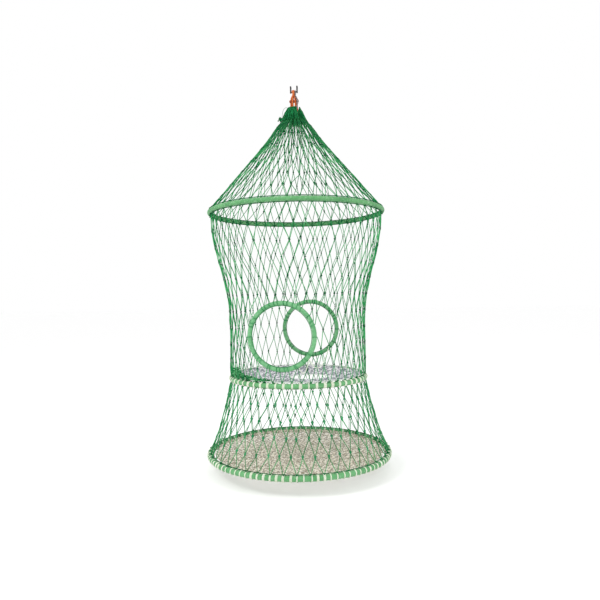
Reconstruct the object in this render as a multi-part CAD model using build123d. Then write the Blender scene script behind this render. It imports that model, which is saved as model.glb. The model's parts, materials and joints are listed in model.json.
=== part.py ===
"""Cargo climbing net: a hanging net tower on three steel hoops, with two round doorways.

Millimetres, +Z up. The origin is the middle of the beam bolt's axis, which runs along X through
both ears of the clevis. Everything hangs below it. The doorways face -Y (front) and +Y (rear).
"""
from build123d import *
import os
from math import atan2, cos, degrees, pi, radians, sin, sqrt, tan

# ---- fits ----
SEAT = 0.3             # gap between a piece and what carries it
RUN_GAP = 0.8          # gap all round where a rope eye rocks on a bar or ring
SPIGOT_FIT = 0.15      # gap between a spigot and the bore of its hoop tube

# ---- heights: each is the drop from the piece above ----
CROWN_DROP = 230.0     # beam bolt to crown ring
CONE_DROP = 913.0      # crown ring to top hoop
WALL_DROP = 1476.0     # top hoop to deck hoop
BASE_DROP = 674.0      # deck hoop to floor hoop

# ---- hoops: centreline radius, and radius over the sleeve ----
TOP_HOOP_R = 776.0
TOP_SLEEVE_R = 20.0
DECK_HOOP_R = 600.0
DECK_SLEEVE_R = 21.0
FLOOR_HOOP_R = 800.0
FLOOR_SLEEVE_R = 24.0
DOOR_HOOP_R = 270.0
DOOR_SLEEVE_R = 19.0
SLEEVE_WALL = 3.0
TUBE_WALL = 2.5
SPIGOT_LENGTH = 160.0
HALF_SPLIT = 0.02      # angle left open between the two halves of a hoop tube

# ---- doorways ----
DOOR_PLANE = 585.0     # tower axis to the plane of each door hoop
DOOR_RISE = 400.0      # deck hoop to the door hoop's centre

# ---- nets ----
COLUMNS = 48           # meshes round the tower
NET = 2.5              # thickness of the wall and cone nets
WAIST_R = 609.0        # wall net just above the deck
WAIST_RISE = 600.0     # height over the deck up to which the wall net stays straight
DECK_NET = 6.0
DECK_SAG = 18.0
HATCH_R = 160.0        # climb-through hole in the deck net
HATCH_X = 128.0
HATCH_Y = -135.0
FLOOR_NET = 7.0
FLOOR_SAG = 20.0
EDGE_ROPE_R = 5.0
DECK_ROPE_AT = 130.0   # where the edge rope lies on the hoop's section: 90 is on top, 180 inside
FLOOR_ROPE_AT = 180.0

# Shape of the two wall nets: share of the change in radius, and share of the height.
WALL_PROFILE = [(0.93, 0.80), (0.55, 0.48), (0.14, 0.17)]
SKIRT_PROFILE = [(0.22, 0.30), (0.46, 0.58), (0.75, 0.84)]

# ---- lacing and ties round the hoops ----
BAND = 3.0             # thickness of the cord wrapped round a sleeve
BAND_WIDTH = 10.0
TIE_WIDTH = 7.0
TIE_CLEAR = 2.0        # twice the least gap between a tie and a band
DECK_BANDS = 57
FLOOR_BANDS = 96
DOOR_TIES = 24

# ---- hanger ----
BOLT_R = 6.5
EAR = 9.0              # thickness of each clevis ear
EAR_WIDTH = 30.0
EAR_NECK = 24.0        # width of an ear between the bolt and the cross bar
JAW = 50.0             # clear width between the ears
BAR_DROP = 40.0        # bolt to the cross bar
BAR_R = 6.0

# ---- sling, crown ring and chain ----
ROPE_R = 6.0
RING_R = 30.0
RING_WIRE_R = 5.0
SHOULDER_BEND = 40.0   # bend radius where a leg turns down
PART_BEND = 25.0       # bend radius where the legs part
LEG_DROP = 22.0        # cross bar to where the sling's legs part
SHOULDER_DROP = 58.0   # cross bar to where the sling's legs hang straight
WHIP_DROP = 85.0       # cross bar to the middle of the whipping
WHIP_ROPE_R = 4.0
WHIP_TURNS = 3
LASH = 5.0             # thickness of the crown lashing on the ring
LASH_LOW = 28.0        # angles that the lashing leaves free for the sling's eyes and the chain
LASH_HIGH = 152.0
LASH_CHAIN = 296.0
CHAIN_ANGLE = 318.0    # where the chain's lower quick link hangs on the crown ring
EYE_ROOM = 20.0        # crown ring to where the gathered neck closes under the sling's eyes
NECK_DROP = 46.0       # crown ring to the lower end of the gathered neck
NECK_R = 43.0
NECK_WALL = 6.0
CONE_LAP = 6.0         # how far the cone's top is hidden behind the gathered neck
LINK_WIRE_R = 2.25
LINK_PITCH = 15.5
LINK_SIDE = 3.6        # half the inner width of a chain link
LINK_PLAY = 0.7        # slack between one link and the next
QUICK_WIRE_R = 2.5
QUICK_PITCH = 28.0
QUICK_SIDE = 7.6
TWINE_R = 1.5

CROWN_Z = -CROWN_DROP
TOP_Z = CROWN_Z - CONE_DROP
DECK_Z = TOP_Z - WALL_DROP
FLOOR_Z = DECK_Z - BASE_DROP
DOOR_Z = DECK_Z + DOOR_RISE
BAR_Z = -BAR_DROP
WHIP_Z = BAR_Z - WHIP_DROP
EYE_R = RING_WIRE_R + ROPE_R + RUN_GAP
BIGHT_R = BAR_R + ROPE_R + RUN_GAP
DOOR_EDGE = DOOR_HOOP_R + DOOR_SLEEVE_R + SEAT + BAND + SEAT

# The chain's line, from the top of its upper quick link, in front of the whipping, to the ring.
CHAIN_ROUTE = [
    (12.0, 0.0, BAR_Z + 12.0),
    (12.0, -1.0, BAR_Z - 18.0),
    (20.0, -17.0, BAR_Z - 50.0),
    (35.2, -21.3, WHIP_Z + 5.0),
    (36.0, -21.9, WHIP_Z - 33.0),
    (24.0, -21.0, CROWN_Z + 24.0),
    (RING_R * cos(radians(CHAIN_ANGLE)), RING_R * sin(radians(CHAIN_ANGLE)), CROWN_Z - 11.0),
]

# Route of the loose end of the crown lashing, from the lashing out, over and down.
TAIL_ROUTE = [
    (-23.5, -31.0, CROWN_Z + 4.0),
    (-38.0, -39.0, CROWN_Z + 25.0),
    (-62.0, -43.0, CROWN_Z + 44.0),
    (-87.0, -45.0, CROWN_Z + 29.0),
    (-99.0, -46.0, CROWN_Z - 6.0),
    (-104.0, -48.0, CROWN_Z - 54.0),
]


def ring(radius, section, hole=0.0, z=0.0):
    """A hoop of round section lying flat, hollow if hole is given."""
    body = Torus(radius, section)
    if hole:
        body = body - Torus(radius, hole)
    return Pos(0, 0, z) * body


def arc_torus(radius, section, angle):
    """Part of a flat hoop about Z, from the X axis round by an angle."""
    return Torus(radius, section, major_angle=angle, align=None)


def on_door(body, side):
    """Stands a flat door piece up in the front (-1) or rear (+1) doorway."""
    return Pos(0, side * DOOR_PLANE, DOOR_Z) * Rot(90, 0, 0) * body


def around(hoop_r, sleeve_r, width, angles, z=0.0):
    """Short wraps of cord round a hoop's sleeve, one at each angle."""
    inner = sleeve_r + SEAT
    wrap = Cylinder(inner + BAND, width) - Cylinder(inner, 2 * width)
    wrap = Pos(hoop_r, 0, 0) * Rot(90, 0, 0) * wrap
    return [Pos(0, 0, z) * Rot(0, 0, a) * wrap for a in angles]


def spread(count, first=0.0):
    return [first + 360.0 * i / count for i in range(count)]


def tie_angles(hoop_r, bands, first):
    """One tie for each net column, moved along the hoop where a band is in its place."""
    if not bands:
        return spread(COLUMNS, first)
    need = degrees((BAND_WIDTH + TIE_WIDTH + TIE_CLEAR) / 2 / hoop_r)
    pitch = 360.0 / bands
    found = []
    for angle in spread(COLUMNS, first):
        band = pitch * round(angle / pitch)
        off = angle - band
        if abs(off) < need:
            angle = band + (need if off >= 0 else -need)
        found.append(angle)
    return found


def hoop_tubes(hoop_r, sleeve_r, z):
    """A steel hoop bent in two halves, and the two spigots inside that join them."""
    outer = sleeve_r - SLEEVE_WALL - SPIGOT_FIT
    bore = outer - TUBE_WALL
    half = arc_torus(hoop_r, outer, 180 - HALF_SPLIT) - Torus(hoop_r, bore)
    halves = [Pos(0, 0, z) * Rot(0, 0, 45 + a) * half for a in (0, 180)]
    turn = degrees(SPIGOT_LENGTH / hoop_r)
    plug = arc_torus(hoop_r, bore - SPIGOT_FIT, turn)
    plugs = [Pos(0, 0, z) * Rot(0, 0, 45 + a - turn / 2) * plug for a in (0, 180)]
    return halves, plugs


def sleeve(hoop_r, sleeve_r, z=0.0):
    return ring(hoop_r, sleeve_r, sleeve_r - SLEEVE_WALL, z)


def edge_point(hoop_r, sleeve_r, z, angle):
    """Where a net's edge lies on the ties, at an angle round the hoop's section."""
    reach = sleeve_r + SEAT + BAND + SEAT + NET / 2 * abs(cos(radians(angle)))
    return hoop_r + reach * cos(radians(angle)), z + reach * sin(radians(angle))


def shell_of_revolution(points):
    """A thin closed net shell about Z, from the (radius, height) points of its middle."""
    outer = [(r + NET / 2, 0, z) for r, z in points]
    inner = [(r - NET / 2, 0, z) for r, z in points]
    if len(points) == 2:
        sides = Line(*outer), Line(*inner)
    else:
        sides = Spline(*outer), Spline(*inner)
    caps = Line(outer[0], inner[0]), Line(outer[-1], inner[-1])
    return revolve(make_face([sides[0], caps[0], sides[1], caps[1]]), Axis.Z)


def beam_clevis():
    """Two ears for the beam bolt, joined below by a round cross bar."""
    ear = Cylinder(EAR_WIDTH / 2, EAR, rotation=(0, 90, 0))
    ear = ear + Pos(0, 0, -BAR_DROP / 2) * Box(EAR, EAR_NECK, BAR_DROP)
    ear = ear + Pos(0, 0, BAR_Z) * Cylinder(EAR_NECK / 2, EAR, rotation=(0, 90, 0))
    ear = ear - Cylinder(BOLT_R, 2 * EAR, rotation=(0, 90, 0))
    out = JAW / 2 + EAR / 2
    bar = Pos(0, 0, BAR_Z) * Cylinder(BAR_R, 2 * out, rotation=(0, 90, 0))
    return Pos(-out, 0, 0) * ear + Pos(out, 0, 0) * ear + bar


def rope_along(points, radii, radius):
    """A round rope along straight runs joined by arcs."""
    path = FilletPolyline(*points, radius=radii)
    section = Plane(origin=path @ 0, z_dir=path % 0) * Circle(radius)
    body = sweep(section, path=path)
    print("rope", round(body.volume / (pi * radius ** 2 * path.length), 4), "length", round(path.length, 1))
    return body


def hanging_sling():
    """A rope loop over the cross bar whose two legs end in eyes on the crown ring."""
    leg_top = BAR_Z - LEG_DROP
    shoulder = BAR_Z - SHOULDER_DROP
    foot = CROWN_Z + EYE_R
    crest = BAR_Z + BIGHT_R
    points = [
        (-RING_R, 0, foot),
        (-RING_R, 0, shoulder),
        (0, -BIGHT_R, leg_top),
        (0, -BIGHT_R, crest),
        (0, BIGHT_R, crest),
        (0, BIGHT_R, leg_top),
        (RING_R, 0, shoulder),
        (RING_R, 0, foot),
    ]
    crest_r = 0.99 * BIGHT_R
    radii = [SHOULDER_BEND, PART_BEND, crest_r, crest_r, PART_BEND, SHOULDER_BEND]
    body = rope_along(points, radii, ROPE_R)
    for x in (-RING_R, RING_R):
        body = body + Pos(x, 0, CROWN_Z) * Rot(90, 0, 0) * Torus(EYE_R, ROPE_R)
    return body


def oval(half_in, side, wire):
    """An oval ring of round wire in the XZ plane, long way up, from its inner half length."""
    bend = Rot(90, 0, 0) * arc_torus(side + wire, wire, 180)
    straight = half_in - side
    body = Pos(0, 0, straight) * bend + Pos(0, 0, -straight) * Rot(0, 180, 0) * bend
    for x in (-side - wire, side + wire):
        body = body + Pos(x, 0, 0) * Cylinder(wire, 2 * straight)
    return body


def sling_whipping():
    """Turns of rope round both legs of the sling."""
    side = ROPE_R + SEAT
    turn = Rot(90, 0, 0) * Rot(0, 90, 0) * oval(RING_R + side, side, WHIP_ROPE_R)
    pitch = 2 * WHIP_ROPE_R + SEAT
    return [Pos(0, 0, WHIP_Z + pitch * (i - (WHIP_TURNS - 1) / 2)) * turn for i in range(WHIP_TURNS)]


def link_between(a, b, roll, side, wire):
    """An oval link whose inner ends are at two points, with its flat side turned by roll."""
    a = Vector(a)
    b = Vector(b)
    way = (a - b).normalized()
    flat = Vector(cos(radians(roll)), sin(radians(roll)), 0)
    flat = (flat - way * flat.dot(way)).normalized()
    plane = Plane(origin=(a + b) * 0.5, x_dir=flat, z_dir=way)
    return plane * oval((a - b).length / 2 + LINK_PLAY / 2, side, wire)


def chain():
    """The plain links, and the two quick links that hold the chain's ends."""
    down = (0, 0, -1)
    line = Spline(*CHAIN_ROUTE, tangents=[down, down])
    count = round((line.length - 2 * QUICK_PITCH) / LINK_PITCH)
    pitch = (line.length - 2 * QUICK_PITCH) / count
    marks = [0.0] + [QUICK_PITCH + pitch * n for n in range(count + 1)] + [line.length]
    points = [line.position_at(m / line.length) for m in marks]
    first_roll = 90.0
    last_roll = degrees(atan2(CHAIN_ROUTE[-1][1], CHAIN_ROUTE[-1][0]))
    twist = (last_roll - first_roll - 90.0 * (count + 1) + 90.0) % 180.0 - 90.0
    made = []
    for n, (a, b) in enumerate(zip(points, points[1:])):
        roll = first_roll + 90.0 * n + twist * n / (count + 1)
        is_quick = n in (0, count + 1)
        side = QUICK_SIDE if is_quick else LINK_SIDE
        wire = QUICK_WIRE_R if is_quick else LINK_WIRE_R
        made.append(link_between(a, b, roll, side, wire))
    return made[1:-1], [made[0], made[-1]]


def crown_lashing():
    """Mesh loops lashed round the crown ring, and the gathered neck that hangs from them."""
    coat = RING_WIRE_R + SEAT
    thick = NECK_R - NECK_WALL
    neck_low = CROWN_Z - NECK_DROP
    neck_top = CROWN_Z - EYE_ROOM
    height = neck_top - neck_low
    body = Pos(0, 0, (neck_top + neck_low) / 2) * (Cylinder(NECK_R, height) - Cylinder(thick, 2 * height))
    fall = Plane.XZ * Pos((NECK_R + thick) / 2, (CROWN_Z + neck_low) / 2) * Rectangle(NECK_WALL, NECK_DROP)
    hollow = Pos(0, 0, CROWN_Z) * Torus(RING_R, coat)
    for low, high in ((LASH_LOW, LASH_HIGH), (LASH_HIGH + 2 * LASH_LOW, LASH_CHAIN)):
        wrap = Pos(0, 0, CROWN_Z) * arc_torus(RING_R, coat + LASH, high - low)
        web = revolve(fall, Axis.Z, high - low)
        body = body + Rot(0, 0, low) * ((wrap + web) - hollow)
    return body


def lashing_tail():
    """The loose end of the crown lashing's twine."""
    points = [Vector(p) for p in TAIL_ROUTE]
    runs = [(b - a).length for a, b in zip(points, points[1:])]
    radii = []
    for n in range(1, len(points) - 1):
        turn = (points[n] - points[n - 1]).get_angle(points[n + 1] - points[n])
        radii.append(0.45 * min(runs[n - 1], runs[n]) / tan(radians(turn / 2)))
    print("tail radii", [round(r, 1) for r in radii], "least", 3 * 2 * TWINE_R)
    return rope_along(TAIL_ROUTE, radii, TWINE_R)


def cone_net():
    """The cone from the gathered neck down to the top hoop's upper side."""
    top = NECK_R + SEAT + NET / 2, CROWN_Z - EYE_ROOM - CONE_LAP
    return shell_of_revolution([top, edge_point(TOP_HOOP_R, TOP_SLEEVE_R, TOP_Z, 95)])


def upper_wall_net():
    """The waisted wall from the top hoop to the deck hoop, with a rimmed doorway front and rear."""
    top = edge_point(TOP_HOOP_R, TOP_SLEEVE_R, TOP_Z, -110)
    low = edge_point(DECK_HOOP_R, DECK_SLEEVE_R, DECK_Z, 70)
    straight = DECK_Z + WAIST_RISE
    rise = top[1] - straight
    spread_r = top[0] - WAIST_R
    flare = [(WAIST_R + out * spread_r, straight + up * rise) for out, up in WALL_PROFILE]
    waist = [(WAIST_R, straight - 0.15 * rise), (WAIST_R, (straight + low[1]) / 2)]
    wall = shell_of_revolution([top] + flare + waist + [low])
    rim = DOOR_EDGE + NET
    deep = sqrt(WAIST_R ** 2 - rim ** 2) - 2 * NET
    proud = WAIST_R + 0.1 * spread_r
    for side in (-1, 1):
        hole = on_door(Cylinder(DOOR_EDGE, 2 * (proud - deep)), side)
        collar = Cylinder(rim, proud - deep) - Cylinder(DOOR_EDGE, 2 * proud)
        collar = Pos(0, side * (proud + deep) / 2, DOOR_Z) * Rot(90, 0, 0) * collar
        wall = (wall - hole) + collar
    return wall


def lower_wall_net():
    """The flared wall from the deck hoop down to the floor hoop."""
    top = edge_point(DECK_HOOP_R, DECK_SLEEVE_R, DECK_Z, -70)
    low = edge_point(FLOOR_HOOP_R, FLOOR_SLEEVE_R, FLOOR_Z, 80)
    drop = top[1] - low[1]
    flare = low[0] - top[0]
    points = [(top[0] + out * flare, top[1] - down * drop) for out, down in SKIRT_PROFILE]
    return shell_of_revolution([top] + points + [low])


def sagging_net(hoop_r, sleeve_r, hoop_z, thick, sag, rope_at):
    """A dish of netting laced inside a hoop, and the edge rope round it."""
    reach = sleeve_r + SEAT + BAND + SEAT + EDGE_ROPE_R
    rope_r = hoop_r + reach * cos(radians(rope_at))
    z = hoop_z + reach * sin(radians(rope_at))
    rim = rope_r - EDGE_ROPE_R - SEAT
    curve = (rim ** 2 + sag ** 2) / (2 * sag)
    dish = Pos(0, 0, z + curve - sag + thick / 2) * Sphere(curve + thick / 2)
    dish = dish - Pos(0, 0, z + curve - sag + thick / 2) * Sphere(curve - thick / 2)
    dish = dish & Pos(0, 0, z) * Cylinder(rim, 4 * (sag + thick))
    rope = ring(rope_r, EDGE_ROPE_R, z=z)
    return dish, rope


def piece(name, *solids):
    """Writes a node's solids to its own STEP file."""
    flat = []
    for s in solids:
        flat.extend(s if isinstance(s, (list, tuple)) else [s])
    body = flat[0] if len(flat) == 1 else Compound(children=flat)
    export_step(body, f"parts/{name}.step")


def write_hanger():
    piece("beam_clevis", beam_clevis())
    piece("hanging_sling", hanging_sling())
    piece("sling_whipping", sling_whipping())
    links, quick = chain()
    piece("safety_chain", links)
    piece("chain_quick_links", quick)
    piece("crown_ring", ring(RING_R, RING_WIRE_R, z=CROWN_Z))
    piece("crown_lashing", crown_lashing())
    piece("lashing_tail", lashing_tail())
    piece("cone_net", cone_net())


def write_hoop(name, hoop_r, sleeve_r, z, bands, first=0.0):
    """A big hoop's tube halves, spigots, sleeve, wall ties and, on two of them, net lacing."""
    halves, plugs = hoop_tubes(hoop_r, sleeve_r, z)
    piece(f"{name}_tube", halves)
    piece(f"{name}_spigots", plugs)
    piece(f"{name}_sleeve", sleeve(hoop_r, sleeve_r, z))
    angles = tie_angles(hoop_r, bands, first)
    piece(f"{name}_ties", around(hoop_r, sleeve_r, TIE_WIDTH, angles, z))
    if bands:
        piece(f"{name}_lacing", around(hoop_r, sleeve_r, BAND_WIDTH, spread(bands), z))


def write_door(name, side):
    """A small hoop stood in a doorway: its tube, its sleeve and the ties to the wall net."""
    outer = DOOR_SLEEVE_R - SLEEVE_WALL - SPIGOT_FIT
    piece(f"{name}_tube", on_door(ring(DOOR_HOOP_R, outer, outer - TUBE_WALL), side))
    piece(f"{name}_sleeve", on_door(sleeve(DOOR_HOOP_R, DOOR_SLEEVE_R), side))
    ties = around(DOOR_HOOP_R, DOOR_SLEEVE_R, TIE_WIDTH, spread(DOOR_TIES))
    piece(f"{name}_ties", [on_door(tie, side) for tie in ties])


def write_nets():
    piece("upper_wall_net", upper_wall_net())
    piece("lower_wall_net", lower_wall_net())
    deck, rope = sagging_net(DECK_HOOP_R, DECK_SLEEVE_R, DECK_Z, DECK_NET, DECK_SAG, DECK_ROPE_AT)
    hatch = Pos(HATCH_X, HATCH_Y, DECK_Z) * Cylinder(HATCH_R, 8 * DECK_SAG)
    piece("deck_net", deck - hatch)
    piece("deck_edge_rope", rope)
    floor, rope = sagging_net(FLOOR_HOOP_R, FLOOR_SLEEVE_R, FLOOR_Z, FLOOR_NET, FLOOR_SAG, FLOOR_ROPE_AT)
    piece("floor_net", floor)
    piece("floor_edge_rope", rope)


if __name__ == "__main__":
    os.makedirs("parts", exist_ok=True)
    write_hanger()
    write_hoop("top_hoop", TOP_HOOP_R, TOP_SLEEVE_R, TOP_Z, 0)
    write_hoop("deck_hoop", DECK_HOOP_R, DECK_SLEEVE_R, DECK_Z, DECK_BANDS)
    write_hoop("floor_hoop", FLOOR_HOOP_R, FLOOR_SLEEVE_R, FLOOR_Z, FLOOR_BANDS, 180.0 / COLUMNS)
    write_door("front_door", -1)
    write_door("rear_door", 1)
    write_nets()
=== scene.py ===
"""Looks of the cargo climbing net: knotted nets, wound hoops, lacing, sling and studio.

Metres, +Z up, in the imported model's frame. The tower hangs from the beam bolt at the origin.
"""
import json
from math import cos, pi, radians, sin

import bpy
import numpy as np
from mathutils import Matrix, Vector
from mathutils.bvhtree import BVHTree


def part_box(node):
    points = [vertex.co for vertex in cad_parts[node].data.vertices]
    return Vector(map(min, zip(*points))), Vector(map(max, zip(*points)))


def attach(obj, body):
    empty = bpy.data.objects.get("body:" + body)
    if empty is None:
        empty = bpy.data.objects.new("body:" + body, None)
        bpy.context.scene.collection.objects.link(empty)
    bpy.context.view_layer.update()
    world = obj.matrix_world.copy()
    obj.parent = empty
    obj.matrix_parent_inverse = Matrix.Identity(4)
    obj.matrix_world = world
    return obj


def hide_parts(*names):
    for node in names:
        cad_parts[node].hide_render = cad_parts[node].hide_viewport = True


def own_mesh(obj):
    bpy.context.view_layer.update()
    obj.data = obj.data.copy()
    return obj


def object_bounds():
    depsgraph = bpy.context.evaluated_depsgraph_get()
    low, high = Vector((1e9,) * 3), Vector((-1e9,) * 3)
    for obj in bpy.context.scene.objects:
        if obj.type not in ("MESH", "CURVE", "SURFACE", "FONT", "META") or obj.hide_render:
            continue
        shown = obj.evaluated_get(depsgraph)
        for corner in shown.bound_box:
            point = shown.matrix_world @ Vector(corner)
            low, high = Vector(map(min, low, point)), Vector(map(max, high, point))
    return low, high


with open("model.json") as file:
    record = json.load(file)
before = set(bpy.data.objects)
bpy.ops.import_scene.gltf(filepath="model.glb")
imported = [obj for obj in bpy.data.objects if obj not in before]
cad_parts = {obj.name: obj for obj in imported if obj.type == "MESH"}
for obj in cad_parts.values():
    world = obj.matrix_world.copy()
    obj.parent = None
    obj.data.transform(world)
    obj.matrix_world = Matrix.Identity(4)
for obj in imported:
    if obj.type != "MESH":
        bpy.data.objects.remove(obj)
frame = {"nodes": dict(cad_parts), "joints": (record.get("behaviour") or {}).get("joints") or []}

cad_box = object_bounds()
chance = np.random.default_rng(11)

# ---- netting ----
COLUMNS = 48                 # meshes round the tower
NET_CORD = 0.0030            # radius of the net's cord
CONE_SWELL = 0.034           # how far the cone stands out just below its gathered top
CONE_ROWS = 8                # half meshes from crown to top hoop
CROWN_SHADE_DEPTH = 0.42          # how far below the crown painted shade darkens the crowded cords
WALL_ROWS = 10
SKIRT_ROWS = 5
KNOT_CORD = 0.0027           # radius of the cord in a knot, before the knot's size
KNOT_GRIP = 0.011            # how far a knot holds its cords together, each way
KNOT_LIFT = 0.006            # from a hoop's sleeve to the middle of a knot tied on it
KNOT_SPREAD = 0.0025         # from a knot's middle to each of the two cords that leave it
WANDER = 0.007               # how far a knot strays from its even place
BOW = 0.002                  # how far a cord bows out between its knots
SWELL_ROWS = 1.6             # rows over which the swell below the crown dies away
DOOR_PULL = 0.17             # how far from a doorway its hoop still draws the net flat
DOOR_CLEAR = 0.045           # knots next to a doorway are pushed this far from its hoop

# ---- dense nets ----
DENSE_PITCH = 0.036          # from one cord to the next that runs the same way
DENSE_WANDER = 0.0022
DECK_CORD = 0.0036
FLOOR_CORD = 0.0038
HATCH = (0.128, -0.135, 0.164)    # the climb-through hole: x, y and radius
HATCH_ROPE = 0.0045
BUNCH_CORD = 0.0030

# ---- hoops ----
TAPE_PITCH = 0.0092          # one turn of the tape wound on a hoop
TAPE_LAP = 0.0012            # step where a turn laps the one before
TIE_CORD = 0.0027
HOOP_ROPE = 0.004            # radius of the ropes that follow a hoop among the ties
DOOR_ROPE = 0.003
DOOR_TIE_CORD = 0.0018
LACE_CORD = 0.0024
LACE_WANDER = 0.004          # how far a band of lacing strays from its even place, in radians
SLACK_CORD = 0.0026
DECK_LACES = 57
FLOOR_LACES = 96

# ---- crown and sling ----
CROWN_CORD = 0.0025
LASH_CORD = 0.0026
LASH_RADIUS = 0.0405
SLING_CORE = 0.006           # radius of the sling's rope in the CAD
SLING_ROPE = 0.0066          # radius of the sling's rope as drawn
SLING_LAY = 0.040            # length of one turn of its strands
STRAND_SHARE = 0.48          # a strand's radius in a rope of three, as a share of the rope's

# ---- camera and studio ----
EYE_DISTANCE = 5.0
EYE_AZIMUTH = 12.8
EYE_HEIGHT = 1.39            # over the floor hoop
EYE_LENS = 33.0
EYE_ROLL = 0.9
EYE_SHIFT = (0.0048, -0.005)
FLOOR_GAP = 0.12             # the tower hangs clear of the studio floor
LAMPS_AIM = (0, 0, -1.8)

# ---- loose end of the crown lashing ----
TAIL_RADIUS = 0.0015
TAIL_ROUTE = [               # from the lashing out, over and down
    (-0.0235, -0.031, -0.226),
    (-0.038, -0.039, -0.205),
    (-0.062, -0.043, -0.186),
    (-0.087, -0.045, -0.201),
    (-0.099, -0.046, -0.236),
    (-0.104, -0.048, -0.284),
]

CORNERS = [(0, 0), (1, 0), (1, 1), (0, 1)]    # of a face: steps along a cord and sides round it


# ---------------------------------------------------------------- shader arithmetic

class Shade:
    """A socket in a finish. Arithmetic on it adds Math nodes."""

    def __init__(self, finish, socket):
        self.finish = finish
        self.socket = socket

    def math(self, operation, *others):
        values = {n + 1: other for n, other in enumerate(others)}
        return self.finish.node("ShaderNodeMath", {"operation": operation}, {0: self, **values})

    def __add__(self, other):
        return self.math("ADD", other)

    def __sub__(self, other):
        return self.math("SUBTRACT", other)

    def __mul__(self, other):
        return self.math("MULTIPLY", other)

    def __truediv__(self, other):
        return self.math("DIVIDE", other)

    def __rsub__(self, other):
        return self.finish.node("ShaderNodeMath", {"operation": "SUBTRACT"}, {0: other, 1: self})

    def sine(self):
        return self.math("SINE")

    def fraction(self):
        return self.math("FRACT")

    def size(self):
        return self.math("ABSOLUTE")

    def between(self, low, high):
        """Rises smoothly from 0 at low to 1 at high."""
        kind = {"interpolation_type": "SMOOTHSTEP"}
        limits = {"Value": self, "From Min": low, "From Max": high}
        return self.finish.node("ShaderNodeMapRange", kind, limits)


class Finish:
    """A material and the nodes that make it."""

    def __init__(self, name, metallic=0.0, sheen=0.0, specular=0.4):
        self.material = bpy.data.materials.new(name)
        self.material.use_nodes = True
        self.tree = self.material.node_tree
        self.skin = self.tree.nodes["Principled BSDF"]
        self.skin.inputs["Metallic"].default_value = metallic
        self.skin.inputs["Sheen Weight"].default_value = sheen
        self.skin.inputs["Specular IOR Level"].default_value = specular

    def node(self, kind, settings, inputs, output=0):
        """Adds a node: its settings first, then a value or a link for each named socket."""
        made = self.tree.nodes.new(kind)
        for key, value in settings.items():
            setattr(made, key, value)
        for key, value in inputs.items():
            self.feed(made.inputs[key], value)
        return Shade(self, made.outputs[output])

    def feed(self, socket, value):
        if isinstance(value, Shade):
            self.tree.links.new(value.socket, socket)
        else:
            socket.default_value = value

    def place(self):
        """Where the surface is, in metres."""
        return self.node("ShaderNodeTexCoord", {}, {}, "Object")

    def height(self):
        return self.node("ShaderNodeSeparateXYZ", {}, {0: self.place()}, 2)

    def cord_place(self):
        """Turns round a cord, and metres along it."""
        mapped = self.node("ShaderNodeTexCoord", {}, {}, "UV")
        apart = self.node("ShaderNodeSeparateXYZ", {}, {0: mapped})
        return apart, Shade(self, apart.socket.node.outputs[1])

    def noise(self, scale, detail=3.0, rough=0.5):
        sizes = {"Vector": self.place(), "Scale": scale, "Detail": detail, "Roughness": rough}
        return self.node("ShaderNodeTexNoise", {}, sizes, "Fac")

    def mix(self, share, first, second):
        kind = {"data_type": "RGBA"}
        return self.node("ShaderNodeMix", kind, {0: share, 6: first, 7: second}, 2)

    def done(self, colour, rough, height=None, depth=0.001, strength=0.6):
        self.feed(self.skin.inputs["Base Color"], colour)
        self.feed(self.skin.inputs["Roughness"], rough)
        if height is not None:
            sizes = {"Height": height, "Distance": depth, "Strength": strength}
            self.feed(self.skin.inputs["Normal"], self.node("ShaderNodeBump", {}, sizes))
        return self.material


def paint(red, green, blue):
    """A colour for a socket, from its strengths on a screen, 0 to 255."""
    def light(level):
        share = level / 255
        return share / 12.92 if share < 0.04045 else ((share + 0.055) / 1.055) ** 2.4
    return light(red), light(green), light(blue), 1.0


# ---------------------------------------------------------------- finishes

def braided_cord(name, colour, shadow, bright, groove_shade=0.35, patch=7.0, edge=0.175, crown_shade_top=None):
    """Braided cord: crossing plaits with painted shade between them, faded in patches, and with painted
    shade below a top height, if one is given.
    """
    plait = 0.010
    plaits = 3
    finish = Finish(name, sheen=0.0, specular=0.12)
    turns, along = finish.cord_place()
    one_way = ((along / plait + turns * plaits) * (2 * pi)).sine()
    other_way = ((along / plait - turns * plaits) * (2 * pi)).sine()
    weave = one_way * other_way * 0.5 + 0.5
    fade = finish.noise(patch).between(0.52 - edge, 0.52 + edge)
    fuzz = finish.noise(900.0, 2.0)
    worn = finish.mix(fade, colour, bright)
    # painted shade: the valleys between the plaits are mixed towards the shadow colour
    plait_shade = (1.0 - weave.between(0.10, 0.75)) * groove_shade
    toned = finish.mix(plait_shade, worn, shadow)
    # painted shade: below the top height the cords darken towards the shadow colour, where the crowded cords
    # near the crown shade each other
    if crown_shade_top is not None:
        near = finish.height().between(crown_shade_top - CROWN_SHADE_DEPTH, crown_shade_top)
        toned = finish.mix(near * 0.7, toned, shadow)
    return finish.done(toned, fuzz * 0.2 + 0.68, weave + fuzz * 0.3, 0.0008)


def laid_rope(name, colour, shadow, bright, lay=0.004):
    """The fibres of a rope's strands, drawn along them, with painted shade in the grooves."""
    finish = Finish(name, sheen=0.2, specular=0.25)
    turns, along = finish.cord_place()
    yarn = ((along / lay + turns * 2.0) * (2 * pi)).sine() * 0.5 + 0.5
    fade = finish.noise(30.0).between(0.30, 0.75)
    fuzz = finish.noise(1100.0, 2.0)
    worn = finish.mix(fade, colour, bright)
    # painted shade: the grooves between the yarns are mixed towards the shadow colour
    toned = finish.mix((1.0 - yarn) * 0.35, worn, shadow)
    return finish.done(toned, fuzz * 0.2 + 0.7, yarn + fuzz * 0.4, 0.0006)


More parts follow.
